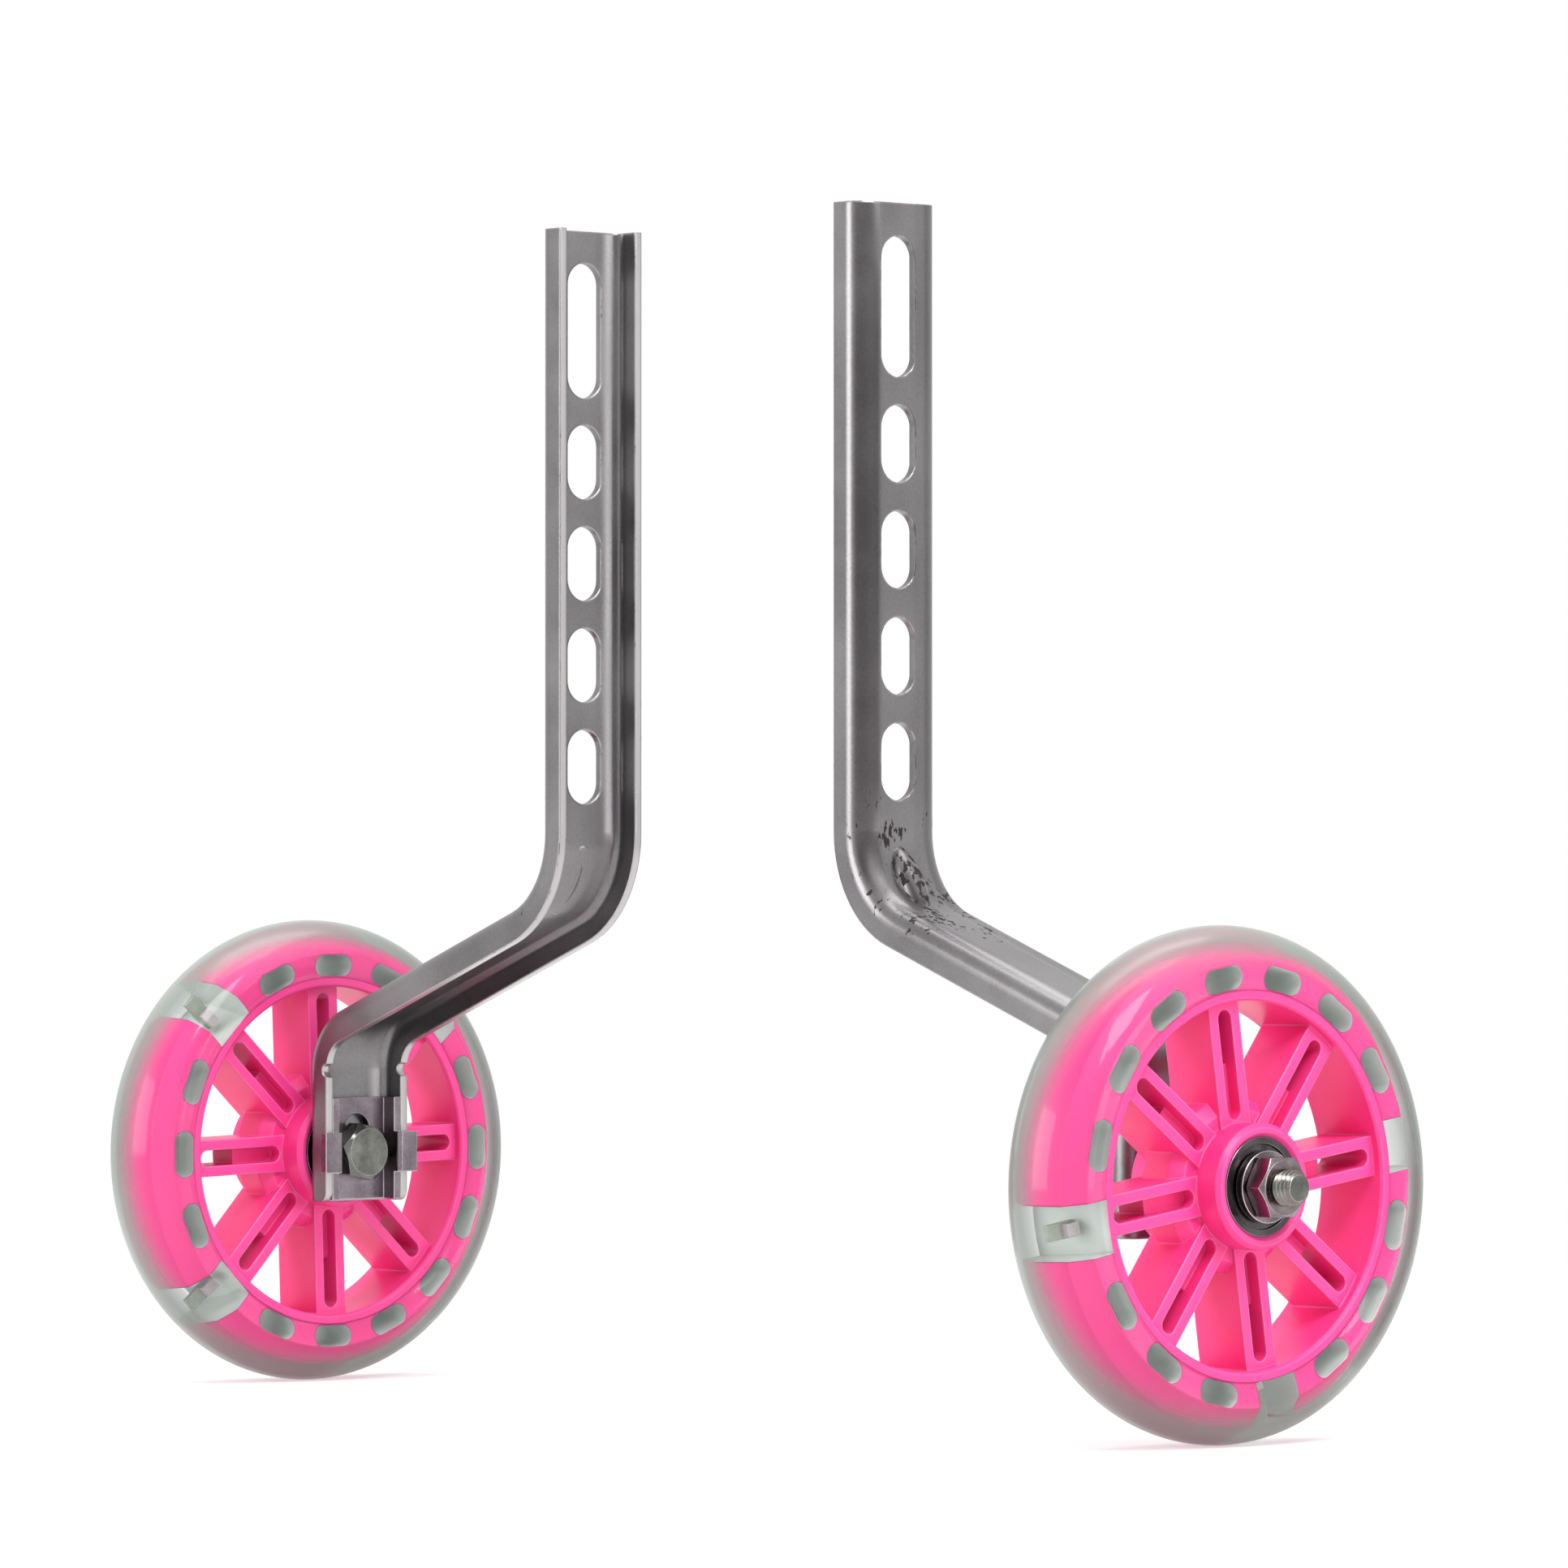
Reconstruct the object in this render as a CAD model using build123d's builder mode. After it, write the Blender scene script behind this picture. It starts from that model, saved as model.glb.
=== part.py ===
from build123d import *
import os
from math import cos, radians, sin, sqrt, tan

# A pair of bicycle training wheels: on each side a pressed channel arm with height slots,
# an M8 axle bolt and a moulded wheel on two ball bearings, with flashing lights set in its
# clear tyre. Millimetres, X across the bike, Y forward, Z up, origin on the ground midway
# between the wheels. Both sides are the same product: the left one is turned half a turn.

# Wheel
WHEEL_DIAMETER = 115.0
TYRE_WIDTH = 25.0
TYRE_HEIGHT = 14.2  # from the rim's band to the tread
TYRE_CROWN = 9.0  # from where the tyre is widest to the tread
TREAD_COVER = 5.1  # clear tyre over the coloured core
RIM_BAND_THICKNESS = 2.4
RIM_BAND_WIDTH = 20.0
RIM_BAND_EDGE_CHAMFER = 0.6
CORE_WIDTH = 19.2  # coloured core that the tyre is cast round
CORE_TIP_WIDTH = 10.0
CORE_SHOULDER = 3.4  # height of the slope from the core's flank to its tip
STATIONS = 16
STATION_OFFSET = 2.0  # degrees from a spoke to its station
WINDOW_LENGTH = 11.4
WINDOW_HEIGHT = 5.0
WINDOW_INSET = 0.5  # from the tyre's seat to the oval window
LIGHT_STATIONS = (0, 8, 12)
LIGHT_GAP = 12.0
LIGHT_BOARD_LENGTH = 3.6
LIGHT_BOARD_HEIGHT = 7.5
LIGHT_BOARD_THICKNESS = 1.0
LIGHT_BOARD_INSET = 1.0
LAMP_SIZE = 2.8
LAMP_THICKNESS = 1.4
LAMP_INSET = 0.5

# Hub and spokes
HUB_WIDTH = 29.0
HUB_RING_DIAMETER = 28.0
HUB_RING_EDGE_CHAMFER = 1.0
HUB_DRUM_DIAMETER = 39.0
HUB_DRUM_WIDTH = 13.0
HUB_DRUM_EDGE_CHAMFER = 2.6
HUB_SHOULDER_HEIGHT = 1.5
SPOKES = 8
SPOKE_WIDTH = 9.0
SPOKE_DEPTH = 15.0
GROOVE_WIDTH = 4.0
GROOVE_DEPTH = 3.5
GROOVE_HUB_INSET = 0.8
GROOVE_RIM_INSET = 1.6
GROOVE_FLOOR_LENGTH = 12.2  # the rest of the groove is open right through

# Sealed ball bearing 608
BEARING_OUTER_DIAMETER = 22.0
BEARING_WIDTH = 7.0
BEARING_RECESS = 0.7
RACE_WALL = 2.05
SHIELD_SEAT_STEP = 0.55  # out of the outer race's wall
SHIELD_SEAT_DEPTH = 0.9
SHIELD_THICKNESS = 0.4
SHIELD_CLEARANCE = 0.05
RUNNING_GAP = 0.3  # between what turns with the wheel and what stays with the bolt

# M8 axle hardware
BOLT_DIAMETER = 7.9
BOLT_LENGTH = 45.0
BOLT_TIP_CHAMFER = 1.0
HEX_ACROSS_FLATS = 13.0
HEAD_HEIGHT = 5.3
HEAD_TURN = 12.0
NUT_HEIGHT = 5.3
HEX_CHAMFER = 0.8
WASHER_DIAMETER = 16.0
WASHER_THICKNESS = 2.0
SPACER_STEP = 0.05  # spacers stay inside the inner race's edge
HUB_GAP = 1.0  # from the arm's web to the hub
BEARING_CLEARANCE = 0.1  # on diameter, bolt in bearing
AXLE_CLEARANCE = 0.2  # on diameter, bolt in arm, spacers and washer

# Channel arm
ARM_SPACING = 116.0  # between the outer faces of the two webs, at the bike's rear axle
ARM_WIDTH = 25.4
ARM_FLANGE = 8.2
ARM_SHEET = 2.0
ARM_CORNER_RADIUS = 4.0
UPPER_LEG = 159.2
MIDDLE_LEG = 97.1
BEND_ANGLE = 70.0
BEND_1_RADIUS = 20.0
BEND_2_RADIUS = 16.0
BEND_2_ABOVE_AXLE = 31.6
ARM_END_BELOW_AXLE = 12.2
ARM_END_RADIUS = 2.5
RELIEF_RADIUS = 1.6
SLOT_WIDTH = 10.5
LONG_SLOT_LENGTH = 32.7
LONG_SLOT_FROM_TOP = 24.0
SLOT_LENGTH = 18.0
FIRST_SLOT_FROM_TOP = 55.7
SLOT_PITCH = 24.5
SLOT_COUNT = 4
DART_LENGTH = 20.0
DART_HEIGHT = 3.4
DART_SHEET = 1.2
DART_HOLLOW_LENGTH = 14.0

# Reinforcing clip nested in the arm's end
CLIP_SHEET = 2.0
CLIP_CLEARANCE = 0.05
CLIP_ABOVE_AXLE = 13.5
CLIP_END_INSET = 0.4
CLIP_SLOT_RISE = 5.4  # of the bolt's slot above the axle
TAB_HEIGHT = 10.0
TAB_FOLD_RADIUS = 1.2
TAB_REACH = 1.6  # past the arm's side

# Turn of each wheel about its axle
WHEEL_TURN = {"right": 8.3, "left": 133.0}

# Places along the arm
axle_z = WHEEL_DIAMETER / 2
web_x = ARM_SPACING / 2
foot_x = web_x + MIDDLE_LEG * sin(radians(BEND_ANGLE))
corner_2_z = axle_z + BEND_2_ABOVE_AXLE
corner_1_z = corner_2_z + MIDDLE_LEG * cos(radians(BEND_ANGLE))
arm_top_z = corner_1_z + UPPER_LEG
arm_end_z = axle_z - ARM_END_BELOW_AXLE
arm_inner_width = ARM_WIDTH - 2 * ARM_SHEET
arm_inner_radius = ARM_CORNER_RADIUS - ARM_SHEET
lip_x = foot_x - ARM_FLANGE

# Places along the axle, from the wheel's middle plane
hub_x = HUB_WIDTH / 2
bearing_face_x = hub_x - BEARING_RECESS
bearing_x = bearing_face_x - BEARING_WIDTH / 2
shoulder_x = bearing_face_x - BEARING_WIDTH
foot_face_x = -(hub_x + HUB_GAP)
head_seat_x = foot_face_x - ARM_SHEET - CLIP_SHEET
nut_x = bearing_face_x + WASHER_THICKNESS
wheel_x = foot_x - foot_face_x

# Radii about the axle
tyre_radius = WHEEL_DIAMETER / 2
bulge_radius = tyre_radius - TYRE_CROWN
seat_radius = tyre_radius - TYRE_HEIGHT
band_radius = seat_radius - RIM_BAND_THICKNESS
core_radius = tyre_radius - TREAD_COVER
shoulder_radius = core_radius - CORE_SHOULDER
hub_radius = HUB_RING_DIAMETER / 2
drum_radius = HUB_DRUM_DIAMETER / 2
pocket_radius = BEARING_OUTER_DIAMETER / 2
outer_shoulder_radius = pocket_radius - RACE_WALL
shield_seat_radius = outer_shoulder_radius + SHIELD_SEAT_STEP
race_bore_radius = (BOLT_DIAMETER + BEARING_CLEARANCE) / 2
inner_shoulder_radius = race_bore_radius + RACE_WALL
spacer_radius = inner_shoulder_radius - SPACER_STEP
axle_bore_radius = (BOLT_DIAMETER + AXLE_CLEARANCE) / 2
hex_corner_radius = HEX_ACROSS_FLATS / sqrt(3)
station_step = 360 / STATIONS
light_angles = [STATION_OFFSET + i * station_step for i in LIGHT_STATIONS]
window_angles = [
    STATION_OFFSET + i * station_step for i in range(STATIONS) if i not in LIGHT_STATIONS
]


def polar(radius, angles):
    """Places on a circle about the axle, with local x pointing outward."""
    return [
        Location((radius * cos(radians(a)), radius * sin(radians(a)), 0), (0, 0, a))
        for a in angles
    ]


# Arm: one channel section swept down the upper leg, round both bends and down to the axle
with BuildPart() as arm:
    with BuildLine(Plane.XZ) as arm_path:
        Polyline(
            (web_x, arm_top_z), (web_x, corner_1_z), (foot_x, corner_2_z), (foot_x, arm_end_z)
        )
        fillet(arm_path.vertices().sort_by(Axis.Z)[-2], BEND_1_RADIUS)
        fillet(arm_path.vertices().sort_by(Axis.Z)[1], BEND_2_RADIUS)
    with BuildSketch(Plane.XY.offset(arm_top_z)) as channel:
        with Locations((web_x, 0)):
            Rectangle(ARM_FLANGE, ARM_WIDTH, align=(Align.MAX, Align.CENTER))
        fillet(channel.vertices().group_by(Axis.X)[-1], ARM_CORNER_RADIUS)
        with Locations((web_x - ARM_SHEET, 0)):
            Rectangle(
                ARM_FLANGE, arm_inner_width, align=(Align.MAX, Align.CENTER), mode=Mode.SUBTRACT
            )
        inside = channel.vertices().filter_by_position(
            Axis.X, web_x - ARM_SHEET, web_x - ARM_SHEET
        )
        fillet(inside, arm_inner_radius)
    sweep()
    # stiffening dart pressed outward across the first bend
    half_bend = radians(BEND_ANGLE / 2)
    dart_normal = Vector(cos(half_bend), 0, sin(half_bend))
    dart_along = Vector(sin(half_bend), 0, -cos(half_bend))
    bend_centre = Vector(web_x + BEND_1_RADIUS, 0, corner_1_z + BEND_1_RADIUS * tan(half_bend))
    dart_centre = bend_centre - dart_normal * BEND_1_RADIUS
    dart_plane = Plane(dart_centre, x_dir=dart_along, z_dir=dart_normal)
    with BuildSketch(dart_plane):
        with BuildLine():
            crest = EllipticalCenterArc((0, 0), DART_LENGTH / 2, DART_HEIGHT, arc_size=180)
            Line(crest @ 1, crest @ 0)
        make_face()
    revolve(axis=Axis(dart_centre, dart_along), revolution_arc=180)
    with BuildSketch(dart_plane):
        with BuildLine():
            hollow = EllipticalCenterArc(
                (0, 0), DART_HOLLOW_LENGTH / 2, DART_HEIGHT - DART_SHEET, arc_size=180
            )
            Line(hollow @ 1, hollow @ 0)
        make_face()
    revolve(axis=Axis(dart_centre, dart_along), mode=Mode.SUBTRACT)
    # height slots in the upper leg
    with BuildSketch(Plane.YZ.offset(web_x)):
        with Locations((0, arm_top_z - LONG_SLOT_FROM_TOP)):
            SlotOverall(LONG_SLOT_LENGTH, SLOT_WIDTH, rotation=90)
        slot_run = (SLOT_COUNT - 1) * SLOT_PITCH
        with Locations((0, arm_top_z - FIRST_SLOT_FROM_TOP - slot_run / 2)):
            with GridLocations(0, SLOT_PITCH, 1, SLOT_COUNT):
                SlotOverall(SLOT_LENGTH, SLOT_WIDTH, rotation=90)
    extrude(amount=-ARM_SHEET, mode=Mode.SUBTRACT)
    # axle hole and the relief notch of each flange under the second bend
    with BuildSketch(Plane.YZ.offset(foot_x)):
        with Locations((0, axle_z)):
            Circle(axle_bore_radius)
    extrude(amount=-ARM_SHEET, mode=Mode.SUBTRACT)
    relief_z = corner_2_z - BEND_2_RADIUS * tan(half_bend)
    with BuildSketch(Plane.XZ):
        with Locations((lip_x, relief_z)):
            Circle(RELIEF_RADIUS)
    extrude(amount=ARM_WIDTH, both=True, mode=Mode.SUBTRACT)
    end_corners = arm.edges().filter_by(Axis.Y).filter_by(
        lambda e: abs(e.center().X - lip_x) < ARM_SHEET / 2 and e.center().Z < axle_z
    )
    fillet(end_corners, ARM_END_RADIUS)

# Clip: a short channel inside the arm's end, its two tabs folded over the arm's lips
clip_width = arm_inner_width - 2 * CLIP_CLEARANCE
clip_face_x = foot_x - ARM_SHEET
clip_depth = ARM_FLANGE - ARM_SHEET
clip_end_z = arm_end_z + CLIP_END_INSET
clip_inner_width = clip_width - 2 * CLIP_SHEET
tab_x = lip_x - CLIP_CLEARANCE
with BuildPart() as axle_clip:
    with BuildSketch(Plane.XY.offset(clip_end_z)) as clip_section:
        with Locations((clip_face_x, 0)):
            Rectangle(clip_depth, clip_width, align=(Align.MAX, Align.CENTER))
        fillet(clip_section.vertices().group_by(Axis.X)[-1], arm_inner_radius + CLIP_CLEARANCE)
        with Locations((clip_face_x - CLIP_SHEET, 0)):
            Rectangle(
                clip_depth, clip_inner_width, align=(Align.MAX, Align.CENTER), mode=Mode.SUBTRACT
            )
    extrude(amount=axle_z + CLIP_ABOVE_AXLE - clip_end_z)
    with BuildSketch(Plane.XY.offset(axle_z - TAB_HEIGHT / 2)) as tab_section:
        with Locations((tab_x - CLIP_SHEET, 0)):
            Rectangle(CLIP_SHEET, ARM_WIDTH + 2 * TAB_REACH, align=(Align.MIN, Align.CENTER))
            Rectangle(2 * CLIP_SHEET, clip_width, align=(Align.MIN, Align.CENTER))
            Rectangle(
                ARM_FLANGE, clip_inner_width, align=(Align.CENTER, Align.CENTER), mode=Mode.SUBTRACT
            )
        fillet(tab_section.vertices().group_by(Axis.X)[0].sort_by(Axis.Y)[1:-1], TAB_FOLD_RADIUS)
    extrude(amount=TAB_HEIGHT)
    with BuildSketch(Plane.YZ.offset(clip_face_x)):
        with Locations((0, axle_z + CLIP_SLOT_RISE / 2)):
            SlotCenterToCenter(CLIP_SLOT_RISE, 2 * axle_bore_radius, rotation=90)
    extrude(amount=-CLIP_SHEET, mode=Mode.SUBTRACT)

# Rim: hub, spokes, band and the core inside the tyre, about the X axis
with BuildPart() as rim:
    with BuildSketch(Plane.XZ) as hub_section:
        with Locations((0, pocket_radius)):
            Rectangle(HUB_WIDTH, hub_radius - pocket_radius, align=(Align.CENTER, Align.MIN))
            Rectangle(HUB_DRUM_WIDTH, drum_radius - pocket_radius, align=(Align.CENTER, Align.MIN))
            Rectangle(2 * shoulder_x, HUB_SHOULDER_HEIGHT, align=(Align.CENTER, Align.MAX))
        chamfer(hub_section.vertices().group_by(Axis.Y)[-1], HUB_DRUM_EDGE_CHAMFER)
        ring_ends = hub_section.vertices().group_by(Axis.X)
        chamfer(ring_ends[0] + ring_ends[-1], HUB_RING_EDGE_CHAMFER)
    revolve(axis=Axis.X)
    spoke_start = (hub_radius + pocket_radius) / 2
    spoke_end = (band_radius + seat_radius) / 2
    with BuildSketch(Plane.YZ):
        with PolarLocations((spoke_start + spoke_end) / 2, SPOKES):
            Rectangle(spoke_end - spoke_start, SPOKE_WIDTH)
    extrude(amount=SPOKE_DEPTH / 2, both=True)
    groove_start = hub_radius + GROOVE_HUB_INSET
    groove_end = band_radius - GROOVE_RIM_INSET
    for face in (Plane.YZ.offset(SPOKE_DEPTH / 2), Plane.YZ.offset(-SPOKE_DEPTH / 2)):
        with BuildSketch(face):
            with PolarLocations((groove_start + groove_end) / 2, SPOKES):
                SlotOverall(groove_end - groove_start, GROOVE_WIDTH)
        extrude(amount=-GROOVE_DEPTH if face.origin.X > 0 else GROOVE_DEPTH, mode=Mode.SUBTRACT)
    opening_start = groove_start + GROOVE_FLOOR_LENGTH
    with BuildSketch(Plane.YZ) as openings:
        with PolarLocations((groove_start + groove_end) / 2, SPOKES):
            SlotOverall(groove_end - groove_start, GROOVE_WIDTH)
        Circle(opening_start, mode=Mode.SUBTRACT)
    extrude(amount=SPOKE_DEPTH / 2, both=True, mode=Mode.SUBTRACT)
    with BuildSketch(Plane.XZ) as band_section:
        with Locations((0, band_radius)):
            Rectangle(RIM_BAND_WIDTH, RIM_BAND_THICKNESS, align=(Align.CENTER, Align.MIN))
        chamfer(band_section.vertices().group_by(Axis.Y)[0], RIM_BAND_EDGE_CHAMFER)
    revolve(axis=Axis.X)
    with BuildSketch(Plane.XZ):
        Polygon(
            (-CORE_WIDTH / 2, spoke_end),
            (CORE_WIDTH / 2, spoke_end),
            (CORE_WIDTH / 2, shoulder_radius),
            (CORE_TIP_WIDTH / 2, core_radius),
            (-CORE_TIP_WIDTH / 2, core_radius),
            (-CORE_WIDTH / 2, shoulder_radius),
            align=None,
        )
    revolve(axis=Axis.X)
    window_radius = seat_radius + WINDOW_INSET + WINDOW_HEIGHT / 2
    with BuildSketch(Plane.YZ):
        with Locations(*polar(window_radius, window_angles)):
            SlotOverall(WINDOW_LENGTH, WINDOW_HEIGHT, rotation=90)
    extrude(amount=CORE_WIDTH, both=True, mode=Mode.SUBTRACT)
    gap_height = tyre_radius - seat_radius
    with BuildSketch(Plane.YZ):
        with Locations(*polar(seat_radius + gap_height / 2, light_angles)):
            Rectangle(gap_height, LIGHT_GAP)
        Circle(seat_radius, mode=Mode.SUBTRACT)
    extrude(amount=CORE_WIDTH, both=True, mode=Mode.SUBTRACT)

# Lights: a small board in each gap of the core, with a lamp on either face
board_radius = seat_radius + LIGHT_BOARD_INSET + LIGHT_BOARD_HEIGHT / 2
lamp_radius = seat_radius + LIGHT_BOARD_INSET + LAMP_INSET + LAMP_SIZE / 2
with BuildPart() as light_boards:
    with BuildSketch(Plane.YZ):
        with Locations(*polar(board_radius, light_angles)):
            Rectangle(LIGHT_BOARD_HEIGHT, LIGHT_BOARD_LENGTH)
    extrude(amount=LIGHT_BOARD_THICKNESS / 2, both=True)

with BuildPart() as lamps:
    with BuildSketch(Plane.YZ.offset(LIGHT_BOARD_THICKNESS / 2)):
        with Locations(*polar(lamp_radius, light_angles)):
            Rectangle(LAMP_SIZE, LAMP_SIZE)
    extrude(amount=LAMP_THICKNESS)
    mirror(about=Plane.YZ)

# Tyre: a clear ring cast round the core and the lights
with BuildPart() as tyre:
    with BuildSketch(Plane.XZ) as tyre_section:
        with Locations((0, bulge_radius)):
            Ellipse(TYRE_WIDTH / 2, tyre_radius - bulge_radius)
        with Locations((0, seat_radius)):
            Rectangle(TYRE_WIDTH, tyre_radius, align=(Align.CENTER, Align.MAX), mode=Mode.SUBTRACT)
    revolve(axis=Axis.X)
    add(rim.part, mode=Mode.SUBTRACT)
    add(light_boards.part, mode=Mode.SUBTRACT)
    add(lamps.part, mode=Mode.SUBTRACT)

# Sealed bearing: two rings and two shields, about the X axis at the bearing's own middle
with BuildPart() as outer_race:
    with BuildSketch(Plane.XZ) as outer_race_section:
        with Locations((0, outer_shoulder_radius)):
            Rectangle(BEARING_WIDTH, RACE_WALL, align=(Align.CENTER, Align.MIN))
        with Locations((-BEARING_WIDTH / 2, 0), (BEARING_WIDTH / 2, 0)):
            Rectangle(2 * SHIELD_SEAT_DEPTH, 2 * shield_seat_radius, mode=Mode.SUBTRACT)
    revolve(axis=Axis.X)

with BuildPart() as inner_race:
    with BuildSketch(Plane.XZ):
        with Locations((0, race_bore_radius)):
            Rectangle(BEARING_WIDTH, RACE_WALL, align=(Align.CENTER, Align.MIN))
    revolve(axis=Axis.X)

with BuildPart() as shields:
    with BuildSketch(Plane.YZ.offset(BEARING_WIDTH / 2 - SHIELD_SEAT_DEPTH)):
        Circle(shield_seat_radius - SHIELD_CLEARANCE)
        Circle(inner_shoulder_radius + RUNNING_GAP, mode=Mode.SUBTRACT)
    extrude(amount=SHIELD_THICKNESS)
    mirror(about=Plane.YZ)

# Axle hardware, about the X axis from the wheel's middle
with BuildPart() as axle_bolt:
    with BuildSketch(Plane.YZ.offset(head_seat_x)):
        RegularPolygon(HEX_ACROSS_FLATS / 2, 6, major_radius=False, rotation=HEAD_TURN)
    extrude(amount=-HEAD_HEIGHT)
    with BuildSketch(Plane.XZ):
        with BuildLine():
            Polyline(
                (head_seat_x, 0),
                (head_seat_x, hex_corner_radius),
                (head_seat_x - HEAD_HEIGHT + HEX_CHAMFER, hex_corner_radius),
                (head_seat_x - HEAD_HEIGHT, HEX_ACROSS_FLATS / 2 - HEX_CHAMFER / 2),
                (head_seat_x - HEAD_HEIGHT, 0),
                close=True,
            )
        make_face()
    revolve(axis=Axis.X, mode=Mode.INTERSECT)
    with BuildSketch(Plane.YZ.offset(head_seat_x)):
        Circle(BOLT_DIAMETER / 2)
    extrude(amount=BOLT_LENGTH)
    chamfer(axle_bolt.edges().group_by(Axis.X)[-1], BOLT_TIP_CHAMFER)

with BuildPart() as axle_nut:
    with BuildSketch(Plane.YZ.offset(nut_x)):
        RegularPolygon(HEX_ACROSS_FLATS / 2, 6, major_radius=False)
        Circle(BOLT_DIAMETER / 2, mode=Mode.SUBTRACT)
    extrude(amount=NUT_HEIGHT)
    with BuildSketch(Plane.XZ):
        with BuildLine():
            Polyline(
                (nut_x, 0),
                (nut_x, HEX_ACROSS_FLATS / 2 - HEX_CHAMFER / 2),
                (nut_x + HEX_CHAMFER, hex_corner_radius),
                (nut_x + NUT_HEIGHT - HEX_CHAMFER, hex_corner_radius),
                (nut_x + NUT_HEIGHT, HEX_ACROSS_FLATS / 2 - HEX_CHAMFER / 2),
                (nut_x + NUT_HEIGHT, 0),
                close=True,
            )
        make_face()
    revolve(axis=Axis.X, mode=Mode.INTERSECT)

with BuildPart() as nut_washer:
    with BuildSketch(Plane.YZ.offset(bearing_face_x)):
        Circle(WASHER_DIAMETER / 2)
        Circle(axle_bore_radius, mode=Mode.SUBTRACT)
    extrude(amount=WASHER_THICKNESS)

with BuildPart() as arm_spacer:
    with BuildSketch(Plane.YZ.offset(foot_face_x)):
        Circle(spacer_radius)
        Circle(axle_bore_radius, mode=Mode.SUBTRACT)
    extrude(amount=HUB_GAP + BEARING_RECESS)

with BuildPart() as bearing_tube:
    with BuildSketch(Plane.YZ):
        Circle(spacer_radius)
        Circle(axle_bore_radius, mode=Mode.SUBTRACT)
    extrude(amount=shoulder_x, both=True)

# Write every piece of both sides in its place
os.makedirs("parts", exist_ok=True)
axle = Location((wheel_x, 0, axle_z))
inner_bearing = Location((-bearing_x, 0, 0))
outer_bearing = Location((bearing_x, 0, 0))
arm_pieces = {"arm": arm, "axle_clip": axle_clip}
bolt_pieces = {
    "axle_bolt": axle_bolt,
    "arm_spacer": arm_spacer,
    "bearing_tube": bearing_tube,
    "nut_washer": nut_washer,
    "axle_nut": axle_nut,
}
wheel_pieces = {"rim": rim, "tyre": tyre, "light_boards": light_boards, "lamps": lamps}
turning_rings = {"outer_race": outer_race, "shields": shields}
for side, half_turn in (("right", 0), ("left", 180)):
    unit = Location((0, 0, 0), (0, 0, half_turn))
    spin = unit * axle * Location((0, 0, 0), (WHEEL_TURN[side], 0, 0))
    placed = {name: piece.part.moved(unit) for name, piece in arm_pieces.items()}
    placed |= {name: piece.part.moved(unit * axle) for name, piece in bolt_pieces.items()}
    placed |= {name: piece.part.moved(spin) for name, piece in wheel_pieces.items()}
    for where, seat in (("inner", inner_bearing), ("outer", outer_bearing)):
        placed[f"{where}_bearing_inner_race"] = inner_race.part.moved(unit * axle * seat)
        for name, piece in turning_rings.items():
            placed[f"{where}_bearing_{name}"] = piece.part.moved(spin * seat)
    for name, node in placed.items():
        node.label = f"{side}_{name}"
        export_step(node, f"parts/{node.label}.step")
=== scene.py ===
import logging
import math
from collections.abc import Callable, Iterator
from contextlib import contextmanager
from dataclasses import dataclass
from enum import Enum

import bpy
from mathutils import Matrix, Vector


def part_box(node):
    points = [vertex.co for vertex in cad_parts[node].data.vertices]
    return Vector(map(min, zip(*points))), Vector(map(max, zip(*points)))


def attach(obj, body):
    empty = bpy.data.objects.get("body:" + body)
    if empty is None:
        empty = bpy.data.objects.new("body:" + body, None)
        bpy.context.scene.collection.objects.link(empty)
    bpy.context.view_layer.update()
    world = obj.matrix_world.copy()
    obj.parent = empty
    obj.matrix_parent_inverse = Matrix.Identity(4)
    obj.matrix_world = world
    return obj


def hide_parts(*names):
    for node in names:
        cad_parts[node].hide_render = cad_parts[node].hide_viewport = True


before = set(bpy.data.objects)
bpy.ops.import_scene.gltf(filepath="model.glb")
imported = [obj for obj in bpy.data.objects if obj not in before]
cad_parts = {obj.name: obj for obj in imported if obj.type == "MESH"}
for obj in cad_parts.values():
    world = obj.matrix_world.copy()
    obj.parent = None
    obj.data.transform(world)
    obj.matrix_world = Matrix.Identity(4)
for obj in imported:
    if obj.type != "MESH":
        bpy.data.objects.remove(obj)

# Looks for the pair of bicycle training wheels. The arms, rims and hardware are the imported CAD
# nodes with real finishes; the clear tyres and the threaded axle bolts are modelled here.

log = logging.getLogger("training_wheels")
Tree = bpy.types.NodeTree
Socket = bpy.types.NodeSocket
MM = 0.001
AXLE_HEIGHT = 57.5 * MM
MERGE = 0.002 * MM  # vertices nearer than this are one
ON_PLANE = 0.01 * MM  # a vertex this near to a plane lies on it
NOISE_SPAN = (0.3, 0.7)  # most of what a noise texture gives
SHADER_SAMPLES = 8  # rays of each bevel and occlusion look-up


class Side(Enum):
    """The two units of the pair, and which way each one's wheel faces along X."""

    RIGHT = 1
    LEFT = -1

    @property
    def prefix(self) -> str:
        """Start of this unit's node names."""
        return self.name.lower() + "_"

    @property
    def wheel_body(self) -> str:
        """Body that turns with this unit's wheel."""
        return self.prefix + "wheel"


# ---------------------------------------------------------------- small tools


def linear(colour: str) -> tuple[float, float, float, float]:
    """Turn an sRGB hex colour into linear RGBA.

    Args:
        colour: Six hex digits after a hash sign.

    Returns:
        Linear red, green, blue and an alpha of 1.
    """
    parts = [int(colour[i : i + 2], 16) / 255 for i in (1, 3, 5)]
    curve = [c / 12.92 if c <= 0.04045 else ((c + 0.055) / 1.055) ** 2.4 for c in parts]
    return (*curve, 1.0)


def per_metre(size_mm: float) -> float:
    """Texture scale that makes one feature about this many millimetres."""
    return 1 / (size_mm * MM)


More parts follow.
